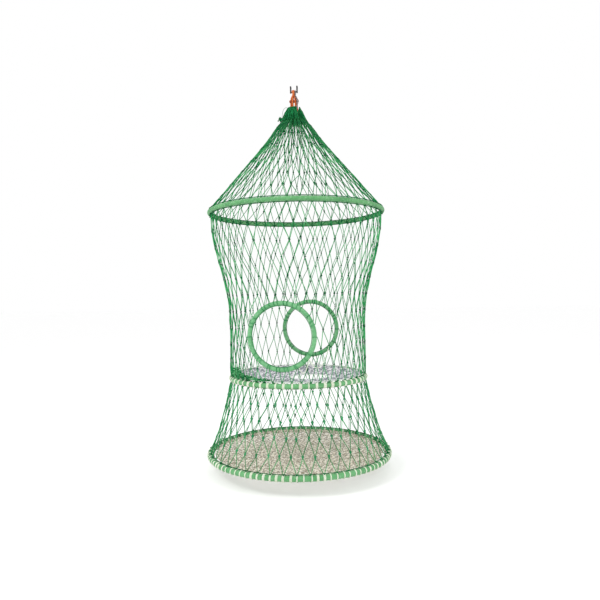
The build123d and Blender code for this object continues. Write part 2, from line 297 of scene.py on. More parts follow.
def wound_tape(name, colour, shadow, bright):
    """Woven tape wound on a hoop: painted shade where a turn laps the next, scuffed on its crests."""
    finish = Finish(name, sheen=0.1, specular=0.35)
    turns, along = finish.cord_place()
    lap = (along / TAPE_PITCH + turns).fraction()
    seam = 1.0 - (lap - 0.5).size().between(0.30, 0.49)
    thread = ((turns * 60.0) * (2 * pi)).sine() * ((along / 0.0015) * (2 * pi)).sine()
    fade = finish.noise(5.0).between(0.30, 0.72)
    scuff = finish.noise(60.0, 4.0, 0.6).between(0.50, 0.72)
    worn = finish.mix(fade, colour, bright)
    scuffed = finish.mix(scuff * 0.35, worn, paint(190, 220, 190))
    # painted shade: the step where each turn laps the next is mixed towards the shadow colour
    toned = finish.mix((1.0 - seam) * 0.75, scuffed, shadow)
    return finish.done(toned, 0.62 - scuff * 0.15, thread * 0.5 + seam, 0.0005)


def worn_metal(name, metal, dirt, rough, coat=0.0, metallic=1.0):
    """Plated or coated steel: soft grain, dull patches and brighter rubbed spots."""
    finish = Finish(name, metallic=metallic, specular=0.5)
    patches = finish.noise(45.0, 4.0, 0.6).between(0.35, 0.70)
    grain = finish.noise(420.0, 2.0)
    toned = finish.mix(patches * 0.6, metal, dirt)
    finish.skin.inputs["Coat Weight"].default_value = coat
    return finish.done(toned, patches * 0.25 + rough, grain, 0.0003, 0.4)


CROWN_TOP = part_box("cone_net")[1].z
NET_GREEN = braided_cord("net_green_cord", paint(18, 128, 66), paint(0, 62, 30), paint(84, 180, 112), 0.45)
# the cone's cord, with painted shade towards the crown
CONE_GREEN = braided_cord(
    "cone_green_cord", paint(14, 122, 62), paint(0, 72, 34), paint(76, 168, 102), 0.45, crown_shade_top=CROWN_TOP)
KNOT_GREEN = braided_cord("knot_green_cord", paint(6, 84, 46), paint(0, 40, 20), paint(36, 124, 76), 0.6)
SKIRT_KNOT_GREEN = braided_cord(
    "skirt_knot_green_cord", paint(40, 136, 84), paint(6, 78, 44), paint(84, 172, 118), 0.5)
BUNCH_GREEN = braided_cord(
    "bunch_green_cord", paint(40, 146, 82), paint(4, 70, 38), paint(150, 212, 158), 0.5, 60.0, 0.1)
CROWN_GREEN = braided_cord(
    "crown_green_cord", paint(2, 98, 48), paint(0, 50, 22), paint(36, 146, 84), 0.55, 40.0)
TIE_GREEN = braided_cord("tie_green_cord", paint(8, 102, 56), paint(0, 48, 24), paint(44, 142, 86), 0.6)
PALE_TIE_GREEN = braided_cord(
    "pale_tie_green_cord", paint(52, 138, 82), paint(20, 90, 48), paint(92, 168, 112))
LACE_CREAM = braided_cord(
    "lacing_cream_cord", paint(224, 230, 210), paint(160, 176, 146), paint(238, 242, 228))
# painted shade: the deck's white rope is given a grey colour, speckled with patches of near-white rope
DECK_SHADED_WHITE = braided_cord(
    "deck_white_cord_painted_shade", paint(146, 150, 158), paint(80, 100, 92), paint(255, 250, 255), 0.4, 28.0, 0.06)
FLOOR_BEIGE = braided_cord(
    "floor_beige_cord", paint(172, 164, 146), paint(104, 98, 80), paint(255, 246, 232), 0.4, 52.0, 0.07)
EDGE_WHITE = laid_rope("edge_white_rope", paint(232, 236, 232), paint(160, 170, 158), paint(244, 246, 244))
SLING_ORANGE = laid_rope("sling_orange_rope", paint(206, 98, 34), paint(120, 44, 12), paint(224, 130, 66))
WHIP_ORANGE = laid_rope("whipping_orange_rope", paint(140, 56, 22), paint(70, 24, 8), paint(170, 82, 38))
TWINE_GREEN = braided_cord("twine_green", paint(40, 78, 56), paint(14, 40, 26), paint(70, 106, 82), 0.5)
TOP_GREEN = wound_tape("top_hoop_green_tape", paint(72, 142, 84), paint(26, 92, 46), paint(98, 164, 104))
SLEEVE_GREEN = wound_tape("sleeve_green_tape", paint(82, 152, 92), paint(30, 96, 50), paint(108, 174, 116))
DOOR_GREEN = wound_tape("door_green_tape", paint(88, 158, 104), paint(34, 104, 58), paint(116, 180, 126))
CHAIN_ZINC = worn_metal("chain_zinc", paint(150, 150, 152), paint(86, 80, 72), 0.34)
RING_ZINC = worn_metal("ring_zinc", paint(164, 164, 162), paint(96, 92, 84), 0.30)
CLEVIS_BLACK = worn_metal("clevis_black_coat", paint(14, 13, 15), paint(40, 36, 34), 0.5, 0.1, 0.1)
TUBE_STEEL = worn_metal("hoop_tube_steel", paint(120, 124, 126), paint(84, 80, 76), 0.45)


# ---------------------------------------------------------------- cords

def unit(vectors):
    return vectors / np.linalg.norm(vectors, axis=-1, keepdims=True)


def frames(paths, out, closed=False):
    """Directions up and across at each point of many paths; up starts as out and is carried on."""
    if closed:
        ahead = unit(np.roll(paths, -1, 1) - np.roll(paths, 1, 1))
    else:
        ahead = unit(np.gradient(paths, axis=1))
    up = np.empty_like(ahead)
    carry = np.broadcast_to(out, ahead[:, 0].shape)
    for n in range(paths.shape[1]):
        carry = unit(carry - (carry * ahead[:, n]).sum(-1, keepdims=True) * ahead[:, n])
        up[:, n] = carry
    return up, np.cross(ahead, up)


class Skein:
    """Round cords gathered into one mesh, mapped by turns round the cord and metres along it."""

    def __init__(self):
        self.points = []
        self.faces = []
        self.maps = []
        self.count = 0

    def lay(self, paths, out, thick, sides=6, closed=False):
        """Adds a cord along each path; out is any direction that a path doesn't start in."""
        paths = np.asarray(paths, float)
        if paths.ndim == 2:
            paths = paths[None]
        cords, length = paths.shape[:2]
        up, across = frames(paths, out, closed)
        turn = 2 * pi * np.arange(sides) / sides
        way = across[:, :, None] * np.cos(turn)[:, None] + up[:, :, None] * np.sin(turn)[:, None]
        radius = np.broadcast_to(thick, (cords, length))[:, :, None, None]
        self.points.append((paths[:, :, None] + way * radius).reshape(-1, 3))
        steps = length if closed else length - 1
        cord, step, side = np.meshgrid(range(cords), range(steps), range(sides), indexing="ij")

        def corner(n, k):
            return self.count + (cord * length + n % length) * sides + k % sides

        quads = np.stack([corner(step + n, side + k) for n, k in CORNERS], -1)
        run = np.linalg.norm(np.diff(paths, axis=1, append=paths[:, :1]), axis=-1)
        along = np.concatenate([np.zeros((cords, 1)), np.cumsum(run, 1)], 1)
        maps = [np.stack([(side + k) / sides, along[cord, step + n]], -1) for n, k in CORNERS]
        self.faces.extend(quads.reshape(-1, 4).tolist())
        self.maps.append(np.stack(maps, -2).reshape(-1, 2))
        if not closed:
            first = self.count + np.arange(cords)[:, None] * length * sides + np.arange(sides)
            last = first + (length - 1) * sides
            self.faces.extend(first.tolist() + last[:, ::-1].tolist())
            self.maps.append(np.zeros((2 * cords * sides, 2)))
        self.count += cords * length * sides

    def twist(self, path, out, radius, pitch, sides=5, closed=False):
        """Adds a laid rope: three strands turned round each other along one path."""
        path = np.asarray(path, float)[None]
        up, across = frames(path, out, closed)
        run = np.linalg.norm(np.diff(path[0], axis=0, prepend=path[0, :1]), axis=-1)
        total = run.sum() + (np.linalg.norm(path[0, -1] - path[0, 0]) if closed else 0.0)
        turns = total / pitch
        if closed:
            turns = round(turns)
        strand_r = radius * STRAND_SHARE
        away = radius - strand_r
        phase = 2 * pi * (turns * np.cumsum(run) / total + np.arange(3)[:, None] / 3)
        reach = across * np.cos(phase)[..., None] + up * np.sin(phase)[..., None]
        self.lay(path + away * reach, up[0, 0], strand_r, sides, closed)

    def piece(self, name, finish, body, slot, *replaced):
        """Makes the object, which rides on a body and stands for the CAD nodes named last."""
        points = np.concatenate(self.points).tolist()
        return dress(name, points, self.faces, np.concatenate(self.maps), finish, body, slot, *replaced)


def dress(name, points, faces, maps, finish, body, slot, *replaced):
    """One smooth piece with its map and finish, riding on its body."""
    mesh = bpy.data.meshes.new(name)
    mesh.from_pydata(points, [], faces)
    cord_map = mesh.uv_layers.new(name="cord_map")
    cord_map.data.foreach_set("uv", maps.astype(np.float32).ravel())
    mesh.shade_smooth()
    made = bpy.data.objects.new(name, mesh)
    bpy.context.collection.objects.link(made)
    mesh.materials.append(finish)
    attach(made, body)
    if replaced:
        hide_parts(*replaced)
    return made


# ---------------------------------------------------------------- hoops

class Hoop:
    """A hoop read off its CAD sleeve, lying flat or standing in a doorway."""

    def __init__(self, node):
        low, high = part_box(node)
        size = high - low
        self.centre = np.array((low + high) / 2)
        self.section = min(size.y, size.z) / 2
        self.radius = size.x / 2 - self.section
        self.side = np.array((1.0, 0.0, 0.0))
        if size.y < size.z:
            self.over = np.array((0.0, 0.0, 1.0))
            self.face = np.array((0.0, np.sign(self.centre[1]), 0.0))
        else:
            self.over = np.array((0.0, 1.0, 0.0))
            self.face = np.array((0.0, 0.0, 1.0))

    def at(self, angle, around, reach):
        """Points by the angle round the hoop, the angle round its section and the reach from its middle."""
        angle, around, reach = np.broadcast_arrays(angle, around, reach)
        away = np.cos(angle)[..., None] * self.side + np.sin(angle)[..., None] * self.over
        out = away * np.cos(around)[..., None] + self.face * np.sin(around)[..., None]
        return self.centre + away * self.radius + out * reach[..., None], out


def wound_sleeve(name, hoop, finish, body, node):
    """Tape wound on a hoop, each turn lapping the one before."""
    turns = round(2 * pi * hoop.radius / TAPE_PITCH)
    sides = 18
    steps = 3 * turns
    step, side = np.meshgrid(range(steps), range(sides), indexing="ij")
    lap = (step / 3 + side / sides) % 1
    uneven = 0.0004 * np.sin(step * 0.9) * np.sin(step * 0.037)
    points, _ = hoop.at(2 * pi * step / steps, 2 * pi * side / sides, hoop.section - TAPE_LAP * lap + uneven)
    quads = np.stack([(step + n) % steps * sides + (side + k) % sides for n, k in CORNERS], -1)
    girth = TAPE_PITCH * turns
    maps = [np.stack([(side + k) / sides, girth * (step + n) / steps], -1) for n, k in CORNERS]
    points = points.reshape(-1, 3).tolist()
    faces = quads.reshape(-1, 4).tolist()
    dress(name, points, faces, np.stack(maps, -2), finish, body, "sleeve_green", node)


def wrap(skein, hoop, angles, turns, cord, start):
    """Close turns of cord round a hoop, centred on each angle; start is where on its section they begin."""
    share = np.linspace(0, 1, int(12 * turns) + 1)
    along = (share - 0.5) * turns * 2.1 * cord / hoop.radius
    reach = hoop.section + cord
    points, out = hoop.at(angles[:, None] + along, start + 2 * pi * turns * share, reach)
    skein.lay(points, out[:, 0], cord, 5)


def mixed_wraps(skein, hoop, angles, choices, cord):
    """Wraps whose number of turns is drawn from choices."""
    drawn = chance.choice(choices, len(angles))
    for turns in sorted(set(choices)):
        if (drawn == turns).any():
            wrap(skein, hoop, angles[drawn == turns], int(turns), cord, pi)


def rope_round(skein, hoop, around, reach, radius, points=960):
    """A laid rope that follows a hoop at one place on its section."""
    angles = 2 * pi * np.arange(points) / points
    path, out = hoop.at(angles, around, reach)
    skein.twist(path, out[0], radius, 9 * radius, 5, True)


# ---------------------------------------------------------------- knotted nets

def net_surface(node):
    """The radius of a CAD net at any height, and its lowest and highest point."""
    mesh = frame["nodes"][node].data
    tree = BVHTree.FromPolygons([v.co for v in mesh.vertices], [p.vertices for p in mesh.polygons])
    low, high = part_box(node)

    def radius(height):
        level = min(max(height, low.z + 0.002), high.z - 0.002)
        return tree.ray_cast(Vector((0, 0, level)), Vector((1, 0, 0)))[0].x

    return np.vectorize(radius), low.z, high.z


class Net:
    """The knots of a diamond net round the tower's axis, and the cords between them."""

    def __init__(self, node, rows, swell=0.0):
        radius, low, high = net_surface(node)
        self.rows = rows
        row, column = np.meshgrid(range(rows + 1), range(COLUMNS), indexing="ij")
        inner = ((row > 0) & (row < rows)) * 1.0
        stray = chance.normal(0, WANDER, (2, rows + 1, COLUMNS)) * inner
        height = high + (low - high) * row / rows + stray[0]
        away = radius(height) + swell * np.exp(-(row / SWELL_ROWS) ** 2) * inner
        step = 2 * pi / COLUMNS
        angle = step * (column + row % 2 / 2) + stray[1] / (away + 0.05)
        around = np.stack([np.cos(angle), np.sin(angle), 0 * angle], -1)
        self.across = np.stack([-np.sin(angle), np.cos(angle), 0 * angle], -1)
        self.knots = around * away[..., None] + np.array((0, 0, 1)) * height[..., None]
        rise = 0.01
        lean = (radius(height + rise) - radius(height - rise)) / (2 * rise)
        self.up = unit(around * lean[..., None] + np.array((0, 0, 1)))
        self.out = np.cross(self.across, self.up)
        self.gone = np.zeros(angle.shape, bool)
        self.ties = []

    def draw_to_door(self, door):
        """Draws the net flat round a doorway and drops the knots inside it."""
        rim = door.radius + door.section
        here = self.knots[..., 1] * door.centre[1] > 0
        offset = self.knots - door.centre
        offset[..., 1] = 0
        far = np.linalg.norm(offset, axis=-1)
        self.gone |= here & (far < rim + 0.004)
        clear = rim + DOOR_CLEAR
        near = here & ~self.gone & (far < clear)
        self.knots[near] += (offset * ((clear - far) / far)[..., None])[near]
        pull = np.clip((rim + DOOR_PULL - far) / DOOR_PULL, 0, 1)
        pull = (pull * pull * (3 - 2 * pull) * here)[..., None]
        self.knots[..., 1:2] += (door.centre[1] - self.knots[..., 1:2]) * pull
        self.out = unit(self.out * (1 - pull) + door.face * pull)

    def pairs(self):
        """Each cord's two knots, as (row, column) for the upper and the lower, and its side."""
        for row in range(self.rows):
            for column in range(COLUMNS):
                for side in (-1, 1):
                    shift = (side - 1) // 2 if row % 2 == 0 else (side + 1) // 2
                    yield (row, column), (row + 1, (column + shift) % COLUMNS), side

    def cords(self, doors):
        """Straight cords from knot to knot, cut off at the doorways' hoops."""
        tops, lows, outs = [], [], []
        for upper, lower, side in self.pairs():
            if self.gone[upper] and self.gone[lower]:
                continue
            top = self.knots[upper] + side * KNOT_SPREAD * self.across[upper]
            low = self.knots[lower] - side * KNOT_SPREAD * self.across[lower]
            if upper[0] > 0:
                top = top - self.up[upper] * KNOT_GRIP
            if lower[0] < self.rows:
                low = low + self.up[lower] * KNOT_GRIP
            if self.gone[upper]:
                top = self.tie_to_door(low, top, doors)
            elif self.gone[lower]:
                low = self.tie_to_door(top, low, doors)
            tops.append(top)
            lows.append(low)
            outs.append(self.out[upper])
        share = np.linspace(0, 1, 5)[:, None]
        tops, lows, outs = np.array(tops), np.array(lows), np.array(outs)
        paths = tops[:, None] * (1 - share) + lows[:, None] * share
        bow = chance.normal(0, BOW, (len(tops), 1, 1)) * np.sin(pi * share)
        return paths + bow * outs[:, None], outs

    def tie_to_door(self, kept, lost, doors):
        """Where a cord from a kept knot towards a lost one meets the doorway's hoop."""
        number = 0 if kept[1] * doors[0].centre[1] > 0 else 1
        door = doors[number]
        start = (kept - door.centre)[[0, 2]]
        way = (lost - kept)[[0, 2]]
        rim = door.radius + door.section + NET_CORD
        a, b, c = way @ way, 2 * start @ way, start @ start - rim * rim
        root = max(b * b - 4 * a * c, 0.0) ** 0.5
        meet = start + way * (-b - root) / (2 * a)
        angle = np.arctan2(meet[1], meet[0])
        self.ties.append((number, angle))
        return door.at(angle, 0.0, door.section + NET_CORD)[0]


def knot_shape():
    """A pulled-up knot as one closed cord: across, out and up, about 15 by 8 by 30 mm."""
    turn = 2 * pi * np.arange(24) / 24
    across = 0.0022 * (np.sin(turn) + 2 * np.sin(2 * turn))
    up = 0.0040 * (np.cos(turn) - 2 * np.cos(2 * turn))
    out = -0.0022 * np.sin(3 * turn)
    return np.stack([across, out, up], -1)


def tie_knots(skein, places, across, out, up, size=1.25):
    """A knot at each place, no two quite alike."""
    count = len(places)
    tilt = chance.normal(0, 0.18, (count, 1))
    grown = size * chance.uniform(0.82, 1.12, (count, 1, 1))
    hand = chance.choice([-1.0, 1.0], (count, 1))
    turned = (across * np.cos(tilt) + up * np.sin(tilt)) * hand
    risen = up * np.cos(tilt) - across * np.sin(tilt)
    axes = np.stack([turned, out, risen], 1)
    paths = places[:, None] + grown * (knot_shape() @ axes)
    skein.lay(paths, out, KNOT_CORD * size, 5, True)


def hang_net(name, node, rows, body, joint, finish, knotted, doors=(), swell=0.0):
    """One of the three nets, as two pieces: its cords and its knots. knotted is their finish and size."""
    net = Net(node, rows, swell)
    for door in doors:
        net.draw_to_door(door)
    cords = Skein()
    paths, outs = net.cords(doors)
    cords.lay(paths, outs, NET_CORD, 6)
    knots = Skein()
    inner = ~net.gone
    inner[0] = inner[-1] = False
    tie_knots(knots, net.knots[inner], net.across[inner], net.out[inner], net.up[inner], knotted[1])
    made = [
        cords.piece(name + "_cords", finish, body, "net_rope", node),
        knots.piece(name + "_knots", knotted[0], body, "tie_cord"),
    ]
    for piece in made:
        crumple(piece, node, joint)
    return net


def crumple(piece, node, joint):
    """Gives a piece a mesh of its own. How far its net travels on the joint is worked out, but nothing folds
    the piece.
    """
    low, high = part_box(node)
    travel = next(j for j in frame["joints"] if j["name"] == joint)["range_m"][1]
    1 - travel / (high.z - low.z)
    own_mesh(piece)


# ---------------------------------------------------------------- dense nets

def dense_net(name, node, body, cord, finish, slot, holes=()):
    """Woven netting in a shallow dish, over and under at each crossing, with holes left out."""
    low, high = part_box(node)
    rim = high.x - 0.003
    sag = high.z - low.z
    skein = Skein()
    number = int(rim / DENSE_PITCH) + 1
    marks = np.arange(-2 * number, 2 * number + 1)
    for family, way in enumerate(unit(np.array([(1.0, 1.0), (-1.0, 1.0)]))):
        beside = np.array((-way[1], way[0]))
        for line in range(-number, number + 1):
            flat = (beside * line + way * marks[:, None] / 2) * DENSE_PITCH
            flat += chance.normal(0, DENSE_WANDER, flat.shape)
            far = np.linalg.norm(flat, axis=1)
            inside = far < rim
            for hole_x, hole_y, hole_r in holes:
                inside &= np.linalg.norm(flat - (hole_x, hole_y), axis=1) > hole_r
            crossing = marks % 2 == 0
            over = crossing * np.cos(pi * (marks // 2 + line + family)) * cord * 0.9
            depth = low.z + (sag - 2 * cord) * np.clip(far / rim, 0, 1) ** 2 + cord + over
            path = np.column_stack([flat, depth])
            for part in runs_of(inside):
                if len(part) > 2:
                    skein.lay(path[part], (0, 0, 1), cord, 5)
    skein.piece(name, finish, body, slot, node)


def runs_of(inside):
    """Index runs where a mask is true."""
    places = np.flatnonzero(inside)
    if not len(places):
        return []
    return np.split(places, np.flatnonzero(np.diff(places) > 1) + 1)


# ---------------------------------------------------------------- crown and hanger

def middle_height(node):
    low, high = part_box(node)
    return (low.z + high.z) / 2


def crown_loops(ring_z):
    """The topmost mesh loops, laid over the crown ring and drawn together, and the tuft beside it.

    Angles run round the tower's axis. They leave room for the sling's eyes and the chain. The lines give
    the distance from the axis and the height over the ring of a loop close to it and of two further out.
    """
    loops = Skein()
    close = np.radians(np.concatenate([np.arange(31, 152, 6.2), np.arange(211, 296, 6.2)]))
    spread = np.radians(np.concatenate([np.arange(18, 163, 5.0), np.arange(198, 300, 5.0), (337, 342)]))
    tight = np.array([
        (0.0400, -0.0440), (0.0395, -0.0250), (0.0385, -0.0080), (0.0360, 0.0045), (0.0300, 0.0078),
        (0.0240, 0.0045), (0.0218, -0.0060), (0.0240, -0.0200), (0.0330, -0.0400),
    ])
    slack = np.array([
        (0.0600, -0.0480), (0.0580, -0.0250), (0.0560, -0.0040), (0.0530, 0.0130), (0.0500, 0.0200),
        (0.0470, 0.0110), (0.0450, -0.0060), (0.0440, -0.0200), (0.0400, -0.0400),
    ])
    tall = np.array([
        (0.1280, -0.0900), (0.1080, -0.0560), (0.0900, -0.0200), (0.0740, 0.0120), (0.0630, 0.0330),
        (0.0560, 0.0420), (0.0510, 0.0340), (0.0480, 0.0120), (0.0450, -0.0160),
    ])
    families = [(close, tight, 0.0006)]
    families += [(spread, slack + (tall - slack) * share, 0.0028) for share in (0.0, 0.25, 0.5, 0.75, 1.0)]
    for angles, line, play in families:
        wobble = chance.normal(0, play, (len(angles), len(line), 2))
        away = line[:, 0] + wobble[..., 0]
        skew = angles[:, None] + chance.normal(0, 0.06, (len(angles), 1)) * np.linspace(-1, 1, len(line))
        height = ring_z + line[:, 1] + wobble[..., 1]
        paths = np.stack([away * np.cos(skew), away * np.sin(skew), height], -1)
        across = np.stack([-np.sin(angles), np.cos(angles), 0 * angles], -1)
        loops.lay(smooth(paths), across, CROWN_CORD, 6)
    turn = 2 * pi * np.arange(20) / 20
    for middle in chance.normal((-0.118, -0.036, -0.288), (0.008, 0.008, 0.012), (12, 3)):
        one, other = unit(chance.normal(0, 1, (2, 3))) * chance.uniform(0.008, 0.018, (2, 1))
        path = middle + np.cos(turn)[:, None] * one + np.sin(turn)[:, None] * other
        loops.lay(path, (0, -1, 0), LASH_CORD, 5, True)
    return loops


def smooth(paths, times=2):
    """Rounds the corners of open paths and keeps their ends."""
    for _ in range(times):
        first = 0.75 * paths[:, :-1] + 0.25 * paths[:, 1:]
        second = 0.25 * paths[:, :-1] + 0.75 * paths[:, 1:]
        middle = np.stack([first, second], 2).reshape(paths.shape[0], -1, 3)
        paths = np.concatenate([paths[:, :1], middle, paths[:, -1:]], 1)
    return paths


def draw_crown():
    """The mesh loops over the crown ring, and the turns of the lashing below them."""
    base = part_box("crown_lashing")[0].z
    crown = crown_loops(middle_height("crown_ring"))
    turns = 5
    share = np.linspace(0, 1, 40 * turns + 1)
    angle = 2 * pi * turns * share
    low = base + 0.003
    height = low + (base + 0.024 - low) * share
    crown.lay(np.column_stack([LASH_RADIUS * np.cos(angle), LASH_RADIUS * np.sin(angle), height]),
              (0, 0, 1), LASH_CORD, 6)
    crown.piece("crown_gather", CROWN_GREEN, "crown", "crown_cord", "crown_lashing")


def sling_bend():
    """The sling's bend over the cross bar: half its width, the bar's height and the crest."""
    low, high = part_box("hanging_sling")
    bight = (high.y - low.y) / 2 - SLING_CORE
    crest = high.z - SLING_CORE
    return bight, crest - bight, crest


def sling_line():
    """The middle line of the sling, from one eye over the cross bar to the other, and its eyes."""
    low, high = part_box("hanging_sling")
    ring_z = middle_height("crown_ring")
    bight, bar, crest = sling_bend()
    eye = ring_z - low.z - SLING_CORE
    leg = high.x - SLING_CORE - eye
    half = [
        (leg, 0, ring_z + eye), (leg, 0, bar - 0.062), (0.014, bight * 0.5, bar - 0.040),
        (0, bight, bar - 0.018), (0, bight, bar), (0, bight * 0.72, bar + bight * 0.72), (0, 0, crest),
    ]
    other = [(-x, -y, z) for x, y, z in reversed(half[:-1])]
    return np.array(half + other), (leg, ring_z, eye)


def inner_sling_line(leg, foot):
    """The sling's second turn: beside the first on the cross bar, and between its legs below."""
    bight, bar, crest = sling_bend()
    whip = middle_height("sling_whipping")
    beside = -0.0125
    tuck = foot + 0.014
    half = [
        (-leg * 0.85, 0.011, tuck), (-leg * 0.6, 0.010, (foot + whip) / 2), (-0.009, 0.003, whip),
        (beside * 0.9, bight * 0.6, bar - 0.030), (beside, bight, bar - 0.010), (beside, bight, bar),
        (beside, bight * 0.72, bar + bight * 0.72), (beside, 0, crest),
    ]
    other = [(beside, -y, z) for _, y, z in reversed(half[4:-1])]
    other += [
        (0.006, -bight * 0.6, bar - 0.034), (0.010, -0.003, whip),
        (leg * 0.6, -0.010, (foot + whip) / 2), (leg * 0.85, -0.011, tuck),
    ]
    return np.array(half + other)


def draw_sling():
    """A three-strand rope doubled over the cross bar, its turns side by side, with an eye at each end."""
    sling = Skein()
    line, (leg, ring_z, eye) = sling_line()
    turns = [(line, (0, 1, 0)), (inner_sling_line(leg, ring_z + eye), (1, 0, 0))]
    for share, aside in ((0.42, 0.0095), (0.42, -0.0095), (0.78, 0.0050)):
        turns.append((line * (share, 1, 1) + (0, aside, -0.004), (0, 1, 0)))
    for path, out in turns:
        sling.twist(smooth(path[None], 4)[0], out, SLING_ROPE, SLING_LAY, 8)
    angle = 2 * pi * np.arange(40) / 40
    for side in (-1, 1):
        across = side * leg + eye * np.cos(angle)
        ring_round = np.column_stack([across, 0 * angle, ring_z + eye * np.sin(angle)])
        sling.twist(ring_round, (0, 1, 0), SLING_ROPE, SLING_LAY, 8, True)
    sling.piece("sling_rope", SLING_ORANGE, "sling", "sling_rope", "hanging_sling")


def draw_whipping():
    """Three turns of rope round both legs of the sling."""
    low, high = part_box("sling_whipping")
    cord = (high.z - low.z) / 6 - 0.0001
    wide, deep = high.x - cord, high.y - cord
    straight = wide - deep
    share = np.linspace(0, 1, 145)
    angle = 2 * pi * np.linspace(0, 3, 145)
    across = deep * np.cos(angle) + straight * np.clip(3 * np.cos(angle), -1, 1)
    height = low.z + cord + (high.z - low.z - 2 * cord) * share
    whipping = Skein()
    whipping.twist(np.column_stack([across, deep * np.sin(angle), height]), (0, 0, 1), cord, 0.03, 6)
    whipping.piece("sling_whipping_rope", WHIP_ORANGE, "sling", "whipping_rope", "sling_whipping")


# ---------------------------------------------------------------- lashings, lacing and edge ropes

def route_points(name, route):
    """Points along the smooth line that a route's points control."""
    curve = bpy.data.curves.new(name + "_route", "CURVE")
    curve.dimensions = "3D"
    spline = curve.splines.new("NURBS")
    spline.points.add(len(route) - 1)
    for point, place in zip(spline.points, route):
        point.co = (*place, 1.0)
    spline.order_u = 3
    spline.use_endpoint_u = True
    guide = bpy.data.objects.new(name + "_route", curve)
    bpy.context.collection.objects.link(guide)
    bpy.context.view_layer.update()
    mesh = bpy.data.meshes.new_from_object(guide)
    points = np.array([v.co for v in mesh.vertices])
    bpy.data.objects.remove(guide)
    bpy.data.meshes.remove(mesh)
    return points


def hang_tail():
    """The loose end of the crown lashing, a limp twine."""
    points = route_points("lashing_tail", TAIL_ROUTE)
    twine = Skein()
    twine.lay(points, (0, -1, 0), TAIL_RADIUS, 10)
    tail = twine.piece("crown_tail_twine", TWINE_GREEN, "crown", "crown_cord", "lashing_tail")


def tie_hoop(name, hoop, body, node, angles, edges, ropes_at):
    """The net's ties: turns inside the hoop, knots at its edges, ropes along it and a cord laced to and fro.

    edges gives a place on the hoop's section and a size for each row of knots, ropes_at places for ropes.
    """
    ties = Skein()
    for shift in (-1.1, 1.1):
        wrap(ties, hoop, angles + shift * TIE_CORD / hoop.radius, 0.5, TIE_CORD, radians(90))
    for around, size in edges:
        places, out = hoop.at(angles, around, hoop.section + KNOT_LIFT)
        along = np.cross(out, unit(places - hoop.centre))
        away = np.cross(out, along)
        tie_knots(ties, places, unit(along), out, unit(away), size)
    for around in ropes_at:
        rope_round(ties, hoop, around, hoop.section + 0.0045, HOOP_ROPE)
    count = 12 * COLUMNS
    angle = 2 * pi * np.arange(count) / count
    wave = 2 * np.abs((angle * COLUMNS / (2 * pi)) % 1 - 0.5)
    path, out = hoop.at(angle, radians(122) + radians(116) * wave, hoop.section + TIE_CORD + 0.001)
    ties.lay(path, out[0], TIE_CORD, 5, True)
    ties.piece(name, TIE_GREEN, body, "tie_cord", node)


def tie_door(number, name, finish):
    """A doorway's ties, one at each cord that ends on its hoop, and a rope along the hoop's inside."""
    door = doors[number]
    ties = Skein()
    angles = np.array([angle for tied, angle in wall.ties if tied == number])
    wrap(ties, door, angles, 2, DOOR_TIE_CORD, pi / 2)
    rope_round(ties, door, radians(165), door.section + DOOR_ROPE, DOOR_ROPE, 480)
    ties.piece(name + "_lashing", finish, name, "tie_cord", name + "_ties")


def festoon(start, end, drop):
    """A slack cord between two points, hanging by drop in its middle."""
    share = np.linspace(0, 1, 25)[:, None]
    fall = np.array((0, 0, 1)) * 4 * drop * share * (1 - share)
    return start * (1 - share) + end * share - fall


def slack_lacing(door, net):
    """The cream lacing that hangs slack beside the front doorway."""
    first, second = door.at(np.radians([-60.0, -38.0]), radians(35), door.section + 0.003)[0]
    aim = door.centre + np.array((0.344, 0.06, -0.148))
    knots = net.knots[~net.gone]
    third = knots[np.argmin(np.linalg.norm(knots - aim, axis=1))]
    slack = Skein()
    for start, end, drop in ((first, second, 0.075), (second, third, 0.120)):
        slack.lay(festoon(start, end, drop), (0, -1, 0), SLACK_CORD, 6)
    made = slack.piece("door_slack_lacing", LACE_CREAM, "top_hoop", "lacing_cord")
    crumple(made, "upper_wall_net", "deck_lift")


def gathered_net(hoop, first, last, count):
    """Spare netting bunched along the deck hoop, left of the front doorway, from first to last degrees."""
    share = np.linspace(0, 1, 48)
    width = chance.uniform(0.25, 0.6, (count, 1))
    start = chance.uniform(0, 1, (count, 1)) * (1 - width)
    place = start + width * share
    angle = radians(first) + radians(last - first) * place
    full = np.clip(1.25 - place, 0, 1) * np.clip(0.25 + 4 * place, 0, 1)
    waves = chance.uniform(9, 22, (count, 2, 1))
    swing = waves * width[:, None] * 2 * share + chance.uniform(0, 2 * pi, (count, 2, 1))
    away = hoop.radius - 0.028 + chance.normal(0, 0.012, (count, 1)) + 0.024 * full * np.sin(swing[:, 0])
    away = np.minimum(away, hoop.radius + 0.004)
    height = hoop.section + 0.012 + chance.uniform(-0.004, 0.040, (count, 1)) * full
    height = hoop.centre[2] + height + 0.014 * full * np.sin(swing[:, 1])
    paths = np.stack([away * np.cos(angle), away * np.sin(angle), height], -1)
    bunch = Skein()
    bunch.lay(paths, (0, 0, 1), BUNCH_CORD, 5)
    bunch.piece("deck_gathered_net", BUNCH_GREEN, "deck", "net_rope")
    rows = np.repeat(np.arange(count), 3)
    picked = chance.integers(2, 46, len(rows))
    places = paths[rows, picked]
    ahead = unit(paths[rows, picked + 1] - places)
    out = np.broadcast_to((0.0, 0.0, 1.0), ahead.shape)
    knots = Skein()
    tie_knots(knots, places, unit(np.cross(ahead, out)), out, ahead)
    knots.piece("deck_gathered_knots", KNOT_GREEN, "deck", "tie_cord")


def lace_hoop(name, hoop, body, count, choices):
    """Bands of cream lacing, nearly even round a hoop."""
    lacing = Skein()
    even = 2 * pi * np.arange(count) / count
    mixed_wraps(lacing, hoop, even + chance.normal(0, LACE_WANDER, count), choices, LACE_CORD)
    lacing.piece(name + "_cream_lacing", LACE_CREAM, body, "lacing_cord", name + "_lacing")


